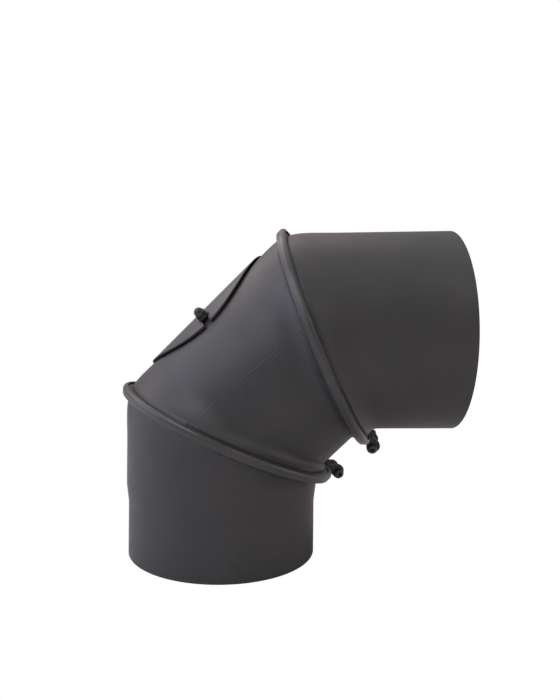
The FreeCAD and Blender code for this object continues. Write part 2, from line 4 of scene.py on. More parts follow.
import bpy
import bmesh
from mathutils import Matrix, Vector


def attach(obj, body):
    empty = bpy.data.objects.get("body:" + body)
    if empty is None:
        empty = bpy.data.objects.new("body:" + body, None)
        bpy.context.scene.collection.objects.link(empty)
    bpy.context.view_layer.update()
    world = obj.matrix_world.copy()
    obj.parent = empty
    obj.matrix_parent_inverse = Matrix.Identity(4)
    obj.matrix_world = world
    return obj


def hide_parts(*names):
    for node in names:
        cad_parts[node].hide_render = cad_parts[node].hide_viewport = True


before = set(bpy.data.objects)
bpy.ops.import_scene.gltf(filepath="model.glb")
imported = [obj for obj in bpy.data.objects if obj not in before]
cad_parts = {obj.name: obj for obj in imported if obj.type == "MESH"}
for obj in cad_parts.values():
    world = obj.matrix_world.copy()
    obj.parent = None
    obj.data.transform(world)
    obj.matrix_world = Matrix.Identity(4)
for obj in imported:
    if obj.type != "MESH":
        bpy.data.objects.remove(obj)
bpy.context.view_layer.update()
scene = bpy.context.scene


def rotation(degrees, axis):
    return Matrix.Rotation(math.radians(degrees), 4, axis)


# ---------------------------------------------------------------- camera

camera_data = bpy.data.cameras.new("camera")
camera_data.sensor_fit = "HORIZONTAL"
camera_data.sensor_width = 36.0
camera_data.lens = 37.484
camera_data.shift_x = 0.04506
camera_data.shift_y = -0.02036
camera_data.clip_start = 0.01
camera_data.clip_end = 50.0
camera = bpy.data.objects.new("camera", camera_data)
camera.matrix_world = (Matrix.Translation((0.006693, -0.477381, 0.174303))
                       @ rotation(-2.263, "Z") @ rotation(90.0 - 0.477, "X") @ rotation(0.554, "Z"))
scene.collection.objects.link(camera)
scene.camera = camera


# ---------------------------------------------------------------- materials

def new_material(name):
    material = bpy.data.materials.new(name)
    material.use_nodes = True
    tree = material.node_tree
    return material, tree, tree.nodes["Principled BSDF"]


def noise(tree, scale, detail, roughness=0.55, distortion=0.0):
    """Noise that is fixed to the object."""
    coords = tree.nodes.new("ShaderNodeTexCoord")
    texture = tree.nodes.new("ShaderNodeTexNoise")
    texture.inputs["Scale"].default_value = scale
    texture.inputs["Detail"].default_value = detail
    texture.inputs["Roughness"].default_value = roughness
    texture.inputs["Distortion"].default_value = distortion
    tree.links.new(coords.outputs["Object"], texture.inputs["Vector"])
    return texture.outputs["Fac"]


def ramp(tree, value, low, dark, high, light):
    """Colour that goes from dark, where the value is low, to light, where it is high."""
    node = tree.nodes.new("ShaderNodeValToRGB")
    for element, position, color in zip(node.color_ramp.elements, (low, high), (dark, light)):
        element.position = position
        element.color = (*color, 1.0)
    tree.links.new(value, node.inputs["Fac"])
    return node.outputs["Color"]


def spread(tree, value, lowest, highest):
    """The middle of a noise's range, spread from lowest to highest."""
    node = tree.nodes.new("ShaderNodeMapRange")
    node.inputs["From Min"].default_value = 0.3
    node.inputs["From Max"].default_value = 0.7
    node.inputs["To Min"].default_value = lowest
    node.inputs["To Max"].default_value = highest
    tree.links.new(value, node.inputs["Value"])
    return node.outputs["Result"]


def bump(tree, height, strength, distance, normal=None):
    node = tree.nodes.new("ShaderNodeBump")
    node.inputs["Strength"].default_value = strength
    node.inputs["Distance"].default_value = distance
    tree.links.new(height, node.inputs["Height"])
    if normal is not None:
        tree.links.new(normal, node.inputs["Normal"])
    return node.outputs["Normal"]


def stove_paint(name, dark, light, roughness):
    """Satin heat-proof paint, sprayed on sheet steel: faint cloudy tone and a fine grain."""
    material, tree, shader = new_material(name)
    clouds = noise(tree, 22.0, 6.0, 0.62, 0.4)
    tree.links.new(ramp(tree, clouds, 0.30, dark, 0.70, light), shader.inputs["Base Color"])
    tree.links.new(spread(tree, noise(tree, 40.0, 3.0), roughness - 0.04, roughness + 0.04),
                   shader.inputs["Roughness"])
    grain = bump(tree, noise(tree, 2200.0, 2.0), 0.12, 0.0002)
    waves = bump(tree, noise(tree, 25.0, 2.0), 0.05, 0.002, grain)
    tree.links.new(waves, shader.inputs["Normal"])
    return material


def lighten_towards_ends(material, attribute, lit_tone):
    """Painted light: mixes the paint towards a lighter tone where the attribute rises to 1, a
    painted reflection and light from below.
    """
    tree = material.node_tree
    base = tree.nodes["Principled BSDF"].inputs["Base Color"]
    painted = base.links[0].from_socket
    amount = tree.nodes.new("ShaderNodeAttribute")
    amount.attribute_name = attribute
    blend = tree.nodes.new("ShaderNodeMix")
    blend.data_type = "RGBA"
    blend.inputs["B"].default_value = (*lit_tone, 1.0)
    tree.links.new(amount.outputs["Fac"], blend.inputs["Factor"])
    tree.links.new(painted, blend.inputs["A"])
    tree.links.new(blend.outputs["Result"], base)


def black_steel(name, tone, roughness):
    """Blackened fastener: nearly black, with slightly rubbed patches."""
    material, tree, shader = new_material(name)
    patches = noise(tree, 400.0, 4.0)
    tree.links.new(ramp(tree, patches, 0.35, (tone * 0.7,) * 3, 0.75, (tone * 1.6,) * 3),
                   shader.inputs["Base Color"])
    tree.links.new(spread(tree, patches, roughness - 0.08, roughness + 0.1),
                   shader.inputs["Roughness"])
    tree.links.new(bump(tree, noise(tree, 1500.0, 3.0), 0.15, 0.0002), shader.inputs["Normal"])
    return material


def fibre(name, dark, light):
    """Heat-proof fibre of the seals and the gasket; the gasket's dark fibre also serves as painted
    shade on the hatch cover's edge.
    """
    material, tree, shader = new_material(name)
    threads = noise(tree, 900.0, 3.0, 0.6, 1.5)
    tree.links.new(ramp(tree, threads, 0.3, dark, 0.7, light), shader.inputs["Base Color"])
    shader.inputs["Roughness"].default_value = 0.9
    tree.links.new(bump(tree, threads, 0.6, 0.0005), shader.inputs["Normal"])
    return material


PAINTED_LIGHT_ATTRIBUTE = "end_painted_light"
paint = stove_paint("stove_paint", (0.0335, 0.0330, 0.0340), (0.0465, 0.0440, 0.0445), 0.45)
# Painted light: the cover's paint is a lighter copy of the pipes' paint, standing in for the
# brighter light on its face.
cover_paint = stove_paint("cover_paint", (0.047, 0.045, 0.046), (0.056, 0.054, 0.055), 0.42)
# Painted highlight: the ring's paint is a lighter copy of the pipes' paint, to brighten the
# highlight on its crown.
ring_paint = stove_paint("ring_paint", (0.045, 0.043, 0.043), (0.058, 0.055, 0.055), 0.31)
# Painted light: the ring's paint turns lighter near both of its ends, standing in for reflection and
# light from below.
lighten_towards_ends(ring_paint, PAINTED_LIGHT_ATTRIBUTE, (0.115, 0.106, 0.102))
black = black_steel("blackened_steel", 0.026, 0.33)
head_black = black_steel("blackened_screw_head", 0.085, 0.30)
# The gasket's dark fibre is also painted shade on the hatch cover's edge.
gasket_fibre_and_edge_shade = fibre("gasket_fibre_and_edge_shade", (0.022, 0.022, 0.022), (0.045, 0.043, 0.042))
rope_fibre = fibre("rope_fibre", (0.07, 0.068, 0.062), (0.13, 0.125, 0.115))


# ---------------------------------------------------------------- sizes, in millimetres

MILLIMETRE = 0.001
WALL = 2.0
SPIGOT_RADIUS, BODY_RADIUS, SOCKET_RADIUS = 74.6, 76.3, 77.0
SPIGOT_LENGTH, TAPER_LENGTH, TAPER_BEND, PAST_TAPER = 41.5, 14.0, 16.0, 6.0
LOWER_LENGTH, MIDDLE_LENGTH, UPPER_LENGTH = 97.8, 113.3, 97.5
SPIGOT_SOFTNESS, SOCKET_SOFTNESS = 0.5, 0.6
TURNED_STEPS, HEXAGON_STEPS, HEXAGON_FACE = 64, 72, 0.94

# Joints: the flare from the pipe to a round knuckle, the coned rim and the flat flange.
MITRE = math.radians(22.95)
LOWER_SWIVEL, UPPER_SWIVEL = -18.3, 32.8
JOINT_SHIFT = 4.45
FLARE_START, FLARE_POWER, FLARE_ROWS = 27.8, 2.5, 15
KNUCKLE_RADIUS, KNUCKLE_DEPTH = 84.0, 4.7
RIM_ANGLE, RIM_RADIUS, RIM_SOFTNESS = math.radians(62.0), 88.9, 0.6
FLANGE_RADIUS, FLANGE_SOFTNESS = 88.8, 0.5

# Weld seam: a bead between two furrows, within a band of close mesh steps.
BEAD_HEIGHT, BEAD_WIDTH = 0.05, 0.6
FURROW_DEPTH, FURROW_WIDTH, FURROW_OFFSET = 0.05, 0.4, 1.5
SEAM_BAND, SEAM_STEPS, ROUND_STEPS = 5.0, 40, 216
SEAM_ANGLES = {"lower": -93.7, "middle": -90.0, "upper": 90.0}
# The middle pipe's seam slants: how far round, in degrees, its start and its end lie.
SEAM_LEAN_START, SEAM_LEAN_END = -0.8, 2.4

# Clamp rings, their lugs and their screws.
CLAMP_TURNS = {"lower": 12.0, "upper": 25.0}
RING_RADIUS, RING_WALL, RING_GAP, RING_STEPS = 90.97, 1.0, 16.0, 240
SEAT_GAP, SEAT_LIP_RADIUS = 0.3, 88.1
# Arc at each ring end over which painted light lightens the ring's paint, and how fast it fades.
LIT_ARC, LIT_POWER = 14.0, 1.2
LUG_THICKNESS, LUG_BEVEL, LUG_STEPS = 3.0, 0.35, 72
SCREW_OFFSET, SCREW_HEIGHT = 102.7, 0.5
SCREW_RADIUS, SCREW_LENGTH, SCREW_PITCH, THREAD_DEPTH = 2.0, 24.0, 0.7, 0.32
SCREW_TIP, SCREW_TIP_SLOPE = 0.5, 1.2
PAN_HEAD = [(0.0, 0.0), (3.75, 0.0), (3.95, 0.2), (3.95, 0.75), (3.86, 1.15), (3.62, 1.58),
            (3.22, 1.97), (2.62, 2.32), (1.85, 2.55), (0.95, 2.67), (0.0, 2.7)]
RECESS_LENGTH, RECESS_WIDTH, RECESS_LOW, RECESS_HIGH = 4.6, 1.15, 0.9, 3.4
CLAMP_HOLE = 2.08
CLAMP_WASHER_RADIUS, CLAMP_WASHER_THICKNESS = 4.5, 0.8
NUT_FLATS, NUT_HEIGHT, NUT_CHAMFER = 7.0, 3.2, 0.35

# Hatch: opening, gasket, cover, and the studs' washers and cap nuts.
OPENING_HALF_LENGTH, OPENING_HALF_WIDTH, OPENING_STEPS = 46.0, 30.0, 96
OPENING_CUT, NOTCH_CUT, NOTCH_REACH = (30.0, 120.0), (20.0, 120.0), 75.0
COVER_HALF_LENGTH, COVER_HALF_WIDTH = 64.5, 58.0
COVER_SOFTNESS, COVER_CHAMFER = 0.3, 0.1
COVER_BOTTOM, COVER_THICKNESS = BODY_RADIUS + 1.75, 0.9
COVER_TOP = COVER_BOTTOM + COVER_THICKNESS
GASKET_BOTTOM = BODY_RADIUS + 0.45
STUD_ANGLE, NOTCH_OFFSET, NOTCH_RADIUS = 38.7, 48.1, 3.1
OVAL_STEPS = 160
STUD_HOLE = 2.58
WASHER_SEAT, WASHER_RADIUS, WASHER_THICKNESS = COVER_TOP + 0.3, 5.0, 1.0
CAP_NUT_SEAT = WASHER_SEAT + 1.02
CAP_FLATS, CAP_HEXAGON_HEIGHT = 8.4, 3.6
DOME_RADIUS, DOME_FOOT = 3.75, 4.0
CAP_BORE = [(0.0, 6.75), (STUD_HOLE, 6.55), (STUD_HOLE, 0.3), (2.85, 0.0)]
GASKET_GAP = 0.02


# ---------------------------------------------------------------- frames of the elbow

def along(angle):
    """Direction tilted from +Z towards +X."""
    return Vector((math.sin(angle), 0.0, math.cos(angle)))


def turned(place, degrees):
    return place @ rotation(degrees, "Z")


def raised(place, height):
    return place @ Matrix.Translation((0.0, 0.0, height))


# A pipe runs along its frame's Z, and an end's frame points out of the pipe.
FLIP = Matrix.Rotation(math.pi, 4, "X")
JOINT_AT_END = (Matrix.Translation(along(MITRE + math.pi / 2) * JOINT_SHIFT)
                @ Matrix.Rotation(MITRE, 4, "Y"))
START_FROM_JOINT = (FLIP @ JOINT_AT_END @ FLIP).inverted()
LOWER_PIPE = Matrix.Identity(4)  # also the elbow's own frame
LOWER_JOINT = raised(LOWER_PIPE, LOWER_LENGTH) @ JOINT_AT_END
MIDDLE_PIPE = turned(LOWER_JOINT, LOWER_SWIVEL) @ START_FROM_JOINT
UPPER_JOINT = raised(MIDDLE_PIPE, MIDDLE_LENGTH) @ JOINT_AT_END
UPPER_PIPE = turned(UPPER_JOINT, UPPER_SWIVEL) @ START_FROM_JOINT
CLAMP_FRAMES = {"lower": turned(LOWER_JOINT, CLAMP_TURNS["lower"]),
                "upper": turned(UPPER_JOINT, CLAMP_TURNS["upper"])}
# The hatch's X runs along the middle pipe, and its Z points out through the heel.
HATCH = (raised(MIDDLE_PIPE, MIDDLE_LENGTH / 2)
         @ Matrix(((0, 0, -1, 0), (0, 1, 0, 0), (1, 0, 0, 0), (0, 0, 0, 1))))
STUD_FRAMES = {"front": HATCH @ rotation(STUD_ANGLE, "X"),
               "back": HATCH @ rotation(-STUD_ANGLE, "X")}


# ---------------------------------------------------------------- mesh building

def closed_mesh(name, vertices, faces, place, merge, marked=()):
    """Mesh in metres from points in millimetres; the marked faces get the second material."""
    mesh = bpy.data.meshes.new(name)
    mesh.from_pydata([tuple((place @ Vector(v)) * MILLIMETRE) for v in vertices], [], faces)
    for index in marked:
        mesh.polygons[index].material_index = 1
    builder = bmesh.new()
    builder.from_mesh(mesh)
    bmesh.ops.remove_doubles(builder, verts=builder.verts, dist=merge)
    bmesh.ops.recalc_face_normals(builder, faces=builder.faces)
    builder.to_mesh(mesh)
    builder.free()
    return mesh


def smooth(mesh, sharp):
    """Smooth shading, broken at edges sharper than an angle in degrees."""
    mesh.polygons.foreach_set("use_smooth", [True] * len(mesh.polygons))
    mesh.set_sharp_from_angle(angle=math.radians(sharp))


def add_piece(name, shape, materials, body, node_names=(), place=LOWER_PIPE,
              sharp=35.0, marked=()):
    """Adds a piece given in millimetres; it rides a body and stands for CAD nodes."""
    vertices, faces = shape
    mesh = closed_mesh(name, vertices, faces, place, 1e-6, marked)
    item = bpy.data.objects.new(name, mesh)
    scene.collection.objects.link(item)
    for material in materials:
        mesh.materials.append(material)
    smooth(mesh, sharp)
    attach(item, body)
    if node_names:
        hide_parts(*node_names)
    return item


def cut_away(item, shapes, place, sharp=35.0):
    """Subtracts closed shapes, given in millimetres, from a piece."""
    for vertices, faces in shapes:
        mesh = closed_mesh("cutter", vertices, faces, place, 1e-7)
        tool = bpy.data.objects.new("cutter", mesh)
        scene.collection.objects.link(tool)
        cut = item.modifiers.new("cut", "BOOLEAN")
        cut.operation, cut.solver, cut.object = "DIFFERENCE", "EXACT", tool
        graph = bpy.context.evaluated_depsgraph_get()
        result = bpy.data.meshes.new_from_object(item.evaluated_get(graph))
        item.modifiers.remove(cut)
        whole = item.data
        item.data = result
        result.name = whole.name
        bpy.data.meshes.remove(whole)
        bpy.data.objects.remove(tool)
        bpy.data.meshes.remove(mesh)
        smooth(result, sharp)


def skin(loops, closed_across=True):
    """Quads between successive closed loops of points, and from the last to the first."""
    vertices = [point for loop in loops for point in loop]
    count, rows = len(loops[0]), len(loops)
    faces = []
    for row in range(rows if closed_across else rows - 1):
        following = (row + 1) % rows
        for index in range(count):
            after = (index + 1) % count
            faces.append((row * count + index, row * count + after,
                          following * count + after, following * count + index))
    return vertices, faces


def capped(loops):
    """Skin over the loops, with the first and the last loop filled in."""
    vertices, faces = skin(loops, closed_across=False)
    count, total = len(loops[0]), len(vertices)
    faces += [tuple(reversed(range(count))), tuple(range(total - count, total))]
    return vertices, faces


def round_angles(steps, start=0.0):
    return [2 * math.pi * (step + start) / steps for step in range(steps)]


def circle(radius, height, angles):
    """Points at the angles round Z."""
    return [(radius * math.cos(angle), radius * math.sin(angle), height) for angle in angles]


def rounded(corners, steps=5, closed=True):
    """Outline of (x, y, radius) corners with each corner turned into an arc."""
    outline = []
    last = len(corners) - 1
    for index, (x, y, radius) in enumerate(corners):
        if radius <= 0.0 or (not closed and index in (0, last)):
            outline.append((x, y))
            continue
        corner = Vector((x, y))
        before = Vector(corners[index - 1][:2]) - corner
        after = Vector(corners[(index + 1) % len(corners)][:2]) - corner
        half = before.angle(after) / 2
        reach = min(radius / math.tan(half), 0.49 * before.length, 0.49 * after.length)
        before, after = before.normalized(), after.normalized()
        start, stop = corner + before * reach, corner + after * reach
        centre = corner + (before + after).normalized() * (reach / math.cos(half))
        first, final = start - centre, stop - centre
        turn = math.atan2(first.x * final.y - first.y * final.x, first.dot(final))
        for step in range(steps + 1):
            c, s = math.cos(turn * step / steps), math.sin(turn * step / steps)
            outline.append((centre.x + first.x * c - first.y * s,
                            centre.y + first.x * s + first.y * c))
    return outline


def revolved(profile):
    """Closed (radius, height) outline turned about Z; radius 0 closes it on the axis."""
    return skin([[(radius * math.cos(angle), radius * math.sin(angle), height)
                  for radius, height in profile] for angle in round_angles(TURNED_STEPS)])


def joined(*shapes):
    """Several shapes as one."""
    vertices, faces = [], []
    for more_vertices, more_faces in shapes:
        start = len(vertices)
        vertices += more_vertices
        faces += [tuple(start + index for index in face) for face in more_faces]
    return vertices, faces


# ---------------------------------------------------------------- the three pipes

# A row goes once round a pipe: a function that gives the point at an angle, lifted off the
# sheet by a height, and whether the weld seam shows on that row.

def seam_angles(seam, radius):
    """Angles round a pipe, with closer steps over the weld seam."""
    reach = SEAM_BAND / radius
    fine = [seam + reach * (2 * step / SEAM_STEPS - 1.0) for step in range(SEAM_STEPS + 1)]
    coarse = [seam + reach + 2 * (math.pi - reach) * step / ROUND_STEPS
              for step in range(1, ROUND_STEPS)]
    return fine + coarse


def hump(distance, width):
    """Bell curve of height 1."""
    return math.exp(-(distance / width) ** 2)


def seam_height(distance):
    """Low weld bead between two narrow furrows."""
    furrows = (hump(distance - FURROW_OFFSET, FURROW_WIDTH)
               + hump(distance + FURROW_OFFSET, FURROW_WIDTH))
    return BEAD_HEIGHT * hump(distance, BEAD_WIDTH) - FURROW_DEPTH * furrows


def round_row(place, radius, height, side=1.0):
    """Circle about a frame's Z; side -1 mirrors its angles."""
    def point(angle, lift):
        return place @ Vector(((radius + lift) * math.cos(angle),
                               (radius + lift) * side * math.sin(angle), height))
    return point


class PipeEnd:
    """One flared end of a pipe; at the pipe's start it is flipped, with its angles mirrored."""

    def __init__(self, place, flipped=False):
        self.place = place
        self.side = -1.0 if flipped else 1.0

    def flare_row(self, pipe_radius, circle_radius, share):
        """Row between the oblique section of the pipe, share 0, and the round knuckle, share 1."""
        opened = share ** FLARE_POWER
        tilt = MITRE * (1 + share) / 2
        height = FLARE_START * (1 - share) + KNUCKLE_DEPTH / math.cos(MITRE) * share
        shift = (JOINT_SHIFT - KNUCKLE_DEPTH * math.tan(MITRE)) * opened
        major = pipe_radius / math.cos(tilt) * (1 - opened) + circle_radius * opened
        minor = pipe_radius * (1 - opened) + circle_radius * opened
        centre = Vector((shift * math.cos(tilt), 0.0, -shift * math.sin(tilt) - height))
        across = Vector((math.cos(tilt), 0.0, -math.sin(tilt)))

        def point(angle, lift):
            sideways = Vector((0.0, (minor + lift) * self.side * math.sin(angle), 0.0))
            return self.place @ (centre + across * ((major + lift) * math.cos(angle)) + sideways)
        return point

    def outer_rows(self, pipe_radius):
        """Outer flare, from the pipe to the knuckle."""
        shares = [row / (FLARE_ROWS - 1) for row in range(FLARE_ROWS)]
        return [(self.flare_row(pipe_radius, KNUCKLE_RADIUS, share), True) for share in shares]

    def inner_rows(self, pipe_radius):
        """Inner flare, from the knuckle back into the pipe."""
        shares = [row / (FLARE_ROWS - 1) for row in reversed(range(FLARE_ROWS))]
        return [(self.flare_row(pipe_radius - WALL, KNUCKLE_RADIUS - WALL, share), False)
                for share in shares]

    def joint_rows(self, corners):
        """Rows over the joint's edge, from the outer knuckle to the inner one."""
        place = self.place @ JOINT_AT_END
        return [(round_row(place, radius, height, self.side), False)
                for radius, height in rounded(corners, closed=False)[1:-1]]

    def coned_rim_rows(self):
        """Rim that widens on a cone towards the pipe's end."""
        lean_in, lean_up = WALL * math.cos(RIM_ANGLE), WALL * math.sin(RIM_ANGLE)
        tip = cone_height(RIM_RADIUS, 0.0)
        return self.joint_rows([
            (KNUCKLE_RADIUS, -KNUCKLE_DEPTH, 0.0),
            (RIM_RADIUS, tip, RIM_SOFTNESS),
            (RIM_RADIUS - lean_in, tip + lean_up, RIM_SOFTNESS),
            (KNUCKLE_RADIUS - lean_in, lean_up - KNUCKLE_DEPTH, RIM_SOFTNESS),
            (KNUCKLE_RADIUS - WALL, -KNUCKLE_DEPTH, 0.0),
        ])

    def flange_rows(self):
        """Flat flange, square to the joint's axis."""
        return self.joint_rows([
            (KNUCKLE_RADIUS, -KNUCKLE_DEPTH, 0.0),
            (KNUCKLE_RADIUS, -WALL, FLANGE_SOFTNESS),
            (FLANGE_RADIUS, -WALL, FLANGE_SOFTNESS),
            (FLANGE_RADIUS, 0.0, FLANGE_SOFTNESS),
            (KNUCKLE_RADIUS - WALL, 0.0, FLANGE_SOFTNESS),
            (KNUCKLE_RADIUS - WALL, -KNUCKLE_DEPTH, 0.0),
        ])


def cone_height(radius, offset):
    """Height on the coned rim's outer face, or on a face that lies an offset below it."""
    return ((radius - KNUCKLE_RADIUS) / math.tan(RIM_ANGLE) - KNUCKLE_DEPTH
            - offset / math.sin(RIM_ANGLE))


def leaned(rows, degrees):
    """Rows whose points, seam included, lie a little further round."""
    def further(point):
        return lambda angle, lift: point(angle + math.radians(degrees), lift)
    return [(further(point), has_seam) for point, has_seam in rows]


def build_pipe(body, rows, seam_degrees, radius):
    """Shell through rows that run out over the pipe and back inside it."""
    seam = math.radians(seam_degrees)
    angles = seam_angles(seam, radius)
    loops = []
    for point, has_seam in rows:
        loop = []
        for angle in angles:
            away = (angle - seam + math.pi) % (2 * math.pi) - math.pi
            loop.append(point(angle, seam_height(away * radius) if has_seam else 0.0))
        loops.append(loop)
    name = body + "_segment"
    return add_piece(name + "_shell", skin(loops), (paint,), body, (name,), sharp=40.0)


def lower_pipe():
    """Pipe with a narrower spigot, a taper and a coned rim at its end."""
    end = PipeEnd(raised(LOWER_PIPE, LOWER_LENGTH))
    top = SPIGOT_LENGTH + TAPER_LENGTH
    edge = (SPIGOT_RADIUS - WALL / 2, 0.0, 0.0)
    outside = rounded([
        edge, (SPIGOT_RADIUS, 0.0, SPIGOT_SOFTNESS),
        (SPIGOT_RADIUS, SPIGOT_LENGTH, TAPER_BEND), (BODY_RADIUS, top, TAPER_BEND),
        (BODY_RADIUS, top + PAST_TAPER, 0.0),
    ], steps=6, closed=False)[:-1]
    inside = rounded([
        (BODY_RADIUS - WALL, top + PAST_TAPER, 0.0), (BODY_RADIUS - WALL, top, TAPER_BEND),
        (SPIGOT_RADIUS - WALL, SPIGOT_LENGTH, TAPER_BEND),
        (SPIGOT_RADIUS - WALL, 0.0, SPIGOT_SOFTNESS), edge,
    ], steps=6, closed=False)[1:-1]
    rows = [(round_row(LOWER_PIPE, r, z), True) for r, z in outside]
    rows += end.outer_rows(BODY_RADIUS) + end.coned_rim_rows() + end.inner_rows(BODY_RADIUS)
    rows += [(round_row(LOWER_PIPE, r, z), False) for r, z in inside]
    build_pipe("lower", rows, SEAM_ANGLES["lower"], BODY_RADIUS)


def opening_cutter():
    """Oval bar through the hatch's opening."""
    return capped([[(OPENING_HALF_LENGTH * math.cos(angle), OPENING_HALF_WIDTH * math.sin(angle),
                     level) for angle in round_angles(OPENING_STEPS)] for level in OPENING_CUT])


def middle_pipe():
    """Pipe with a flange at its start, a coned rim at its end and the hatch's opening."""
    start = PipeEnd(MIDDLE_PIPE @ FLIP, flipped=True)
    end = PipeEnd(raised(MIDDLE_PIPE, MIDDLE_LENGTH))
    rows = leaned(reversed(start.outer_rows(BODY_RADIUS)), SEAM_LEAN_START)
    rows += leaned(end.outer_rows(BODY_RADIUS), SEAM_LEAN_END)
    rows += end.coned_rim_rows() + end.inner_rows(BODY_RADIUS)
    rows += reversed(start.inner_rows(BODY_RADIUS))
    rows += reversed(start.flange_rows())
    shell = build_pipe("middle", rows, SEAM_ANGLES["middle"], BODY_RADIUS)
    cut_away(shell, [opening_cutter()], HATCH, sharp=40.0)


def upper_pipe():
    """Pipe with a flange at its start and an open socket at its end."""
    start = PipeEnd(UPPER_PIPE @ FLIP, flipped=True)
    inside = SOCKET_RADIUS - WALL
    mouth = rounded([
        (SOCKET_RADIUS, UPPER_LENGTH / 2, 0.0), (SOCKET_RADIUS, UPPER_LENGTH, SOCKET_SOFTNESS),
        (inside, UPPER_LENGTH, SOCKET_SOFTNESS), (inside, UPPER_LENGTH / 2, 0.0),
    ], closed=False)
    rows = list(reversed(start.outer_rows(SOCKET_RADIUS)))
    rows += [(round_row(UPPER_PIPE, r, z), r > SOCKET_RADIUS - WALL / 2) for r, z in mouth]
    rows += reversed(start.inner_rows(SOCKET_RADIUS))
    rows += reversed(start.flange_rows())
    build_pipe("upper", rows, SEAM_ANGLES["upper"], SOCKET_RADIUS)


lower_pipe()
middle_pipe()
upper_pipe()


# ---------------------------------------------------------------- clamps

def clamp_ring(prefix):
    """Rolled band with a crown between a seating lip and a free lip, open at +X."""
    inner = RING_RADIUS - RING_WALL
    seat_outside = SEAT_GAP + RING_WALL
    seat_edge = SEAT_LIP_RADIUS - RING_WALL * math.cos(RIM_ANGLE)
    profile = rounded([
        (SEAT_LIP_RADIUS, cone_height(SEAT_LIP_RADIUS, seat_outside), 0.3),
        (89.6, cone_height(89.6, seat_outside), 0.8),
        (90.1, -2.1, 0.4),
        (90.0, -1.75, 0.3),
        (90.4, -1.15, 0.4),
        (RING_RADIUS, 0.1, 0.8),
        (RING_RADIUS, 1.3, 0.8),
        (90.3, 2.75, 0.9),
        (88.1, 3.6, 0.35),
        (87.9, 2.65, 0.3),
        (inner - 0.5, 1.9, 0.5),
        (inner - 0.1, 0.4, 0.6),
        (inner - 0.85, -1.3, 0.3),
        (inner - 0.9, cone_height(inner - 0.9, SEAT_GAP), 0.3),
        (seat_edge, cone_height(seat_edge, SEAT_GAP), 0.3),
    ], steps=4)
    loops = []
    for step in range(RING_STEPS + 1):
        loop = []
        for radius, height in profile:
            edge = math.asin(RING_GAP / 2 / radius)
            angle = edge + (2 * math.pi - 2 * edge) * step / RING_STEPS
            loop.append((radius * math.cos(angle), radius * math.sin(angle), height))
        loops.append(loop)
    name = prefix + "_clamp_ring"
    item = add_piece(name + "_band", capped(loops), (ring_paint,), prefix + "_clamp", (name,),
                     CLAMP_FRAMES[prefix])
    # The points lie section after section round the band, so an index tells how far round it is.
    # Painted light: this attribute rises to 1 at the ring's ends and lightens the paint there, a
    # painted reflection and light from below.
    light_share = item.data.attributes.new(PAINTED_LIGHT_ATTRIBUTE, "FLOAT", "POINT")
    for index, spot in enumerate(light_share.data):
        step = index // len(profile)
        from_end = min(step, RING_STEPS - step) * 360.0 / RING_STEPS
        spot.value = max(0.0, 1.0 - from_end / LIT_ARC) ** LIT_POWER


def supported(circles, shrink):
    """Outline round a row of (across, up, radius) circles, drawn in by `shrink`."""
    outline = []
    for angle in round_angles(LUG_STEPS):
        way = Vector((math.cos(angle), math.sin(angle)))
        x, y, radius = max(circles, key=lambda c: c[0] * way.x + c[1] * way.y + c[2])
        outline.append((x + way.x * (radius - shrink), y + way.y * (radius - shrink)))
    return outline


def plate(circles):
    """Lug's sheet in the XZ plane with rounded edges, half on each side of it."""
    edge = []
    for step in range(5):
        turn = math.pi / 2 * step / 4
        edge.append((LUG_BEVEL * (1 - math.sin(turn)),
                     LUG_BEVEL * (1 - math.cos(turn)) - LUG_THICKNESS / 2))
    edge += [(shrink, -depth) for shrink, depth in reversed(edge)]
    return capped([[(x, depth, z) for x, z in supported(circles, shrink)]
                   for shrink, depth in edge])


def lug(prefix, side, offset):
    """Lug that swells from the ring's end to the screw's eye, with a small ear at the ring."""
    arm = plate([(91.3, 2.0, 1.9), (101.4, 2.1, 5.4), (SCREW_OFFSET, SCREW_HEIGHT, 4.6)])
    ear = plate([(91.5, 3.8, 1.9), (90.4, 6.3, 2.1)])
    name = f"{prefix}_clamp_{side}_lug"
    add_piece(name + "_plate", joined(arm, ear), (black,), prefix + "_clamp", (name,),
              place=CLAMP_FRAMES[prefix] @ Matrix.Translation((0.0, offset, 0.0)))


def threaded_shank():
    """Screw's threaded shank below Z = 0, with a chamfered tip."""
    per_turn, around = 6, 24
    rows = int(SCREW_LENGTH / SCREW_PITCH * per_turn)
    loops = [[(0.0, 0.0, -SCREW_LENGTH)] * around]
    for row in range(rows + 1):
        height = SCREW_LENGTH * row / rows - SCREW_LENGTH
        tip = SCREW_RADIUS - SCREW_TIP + (height + SCREW_LENGTH) * SCREW_TIP_SLOPE
        allowed = min(SCREW_RADIUS, tip)
        loop = []
        for step, angle in enumerate(round_angles(around)):
            phase = (height / SCREW_PITCH - step / around) % 1.0
            cut = min(allowed, SCREW_RADIUS - THREAD_DEPTH * (1 - abs(2 * phase - 1)))
            loop.append((cut * math.cos(angle), cut * math.sin(angle), height))
        loops.append(loop)
    loops.append([(0.0, 0.0, 0.0)] * around)
    return skin(loops, closed_across=False)


def hexagon_loops(flats, height):
    """Loops up a hexagon's sides, with both faces chamfered, and the angles of their points."""
    angles = round_angles(HEXAGON_STEPS, 0.5)
    face = flats / 2 * HEXAGON_FACE
    low, high = [], []
    for angle in angles:
        reach = flats / 2 / math.cos((angle + math.pi / 6) % (math.pi / 3) - math.pi / 6)
        drop = (reach - face) * math.tan(math.radians(30.0))
        low += circle(reach, drop, [angle])
        high += circle(reach, height - drop, [angle])
    return [circle(face, 0.0, angles), low, high, circle(face, height, angles)], angles


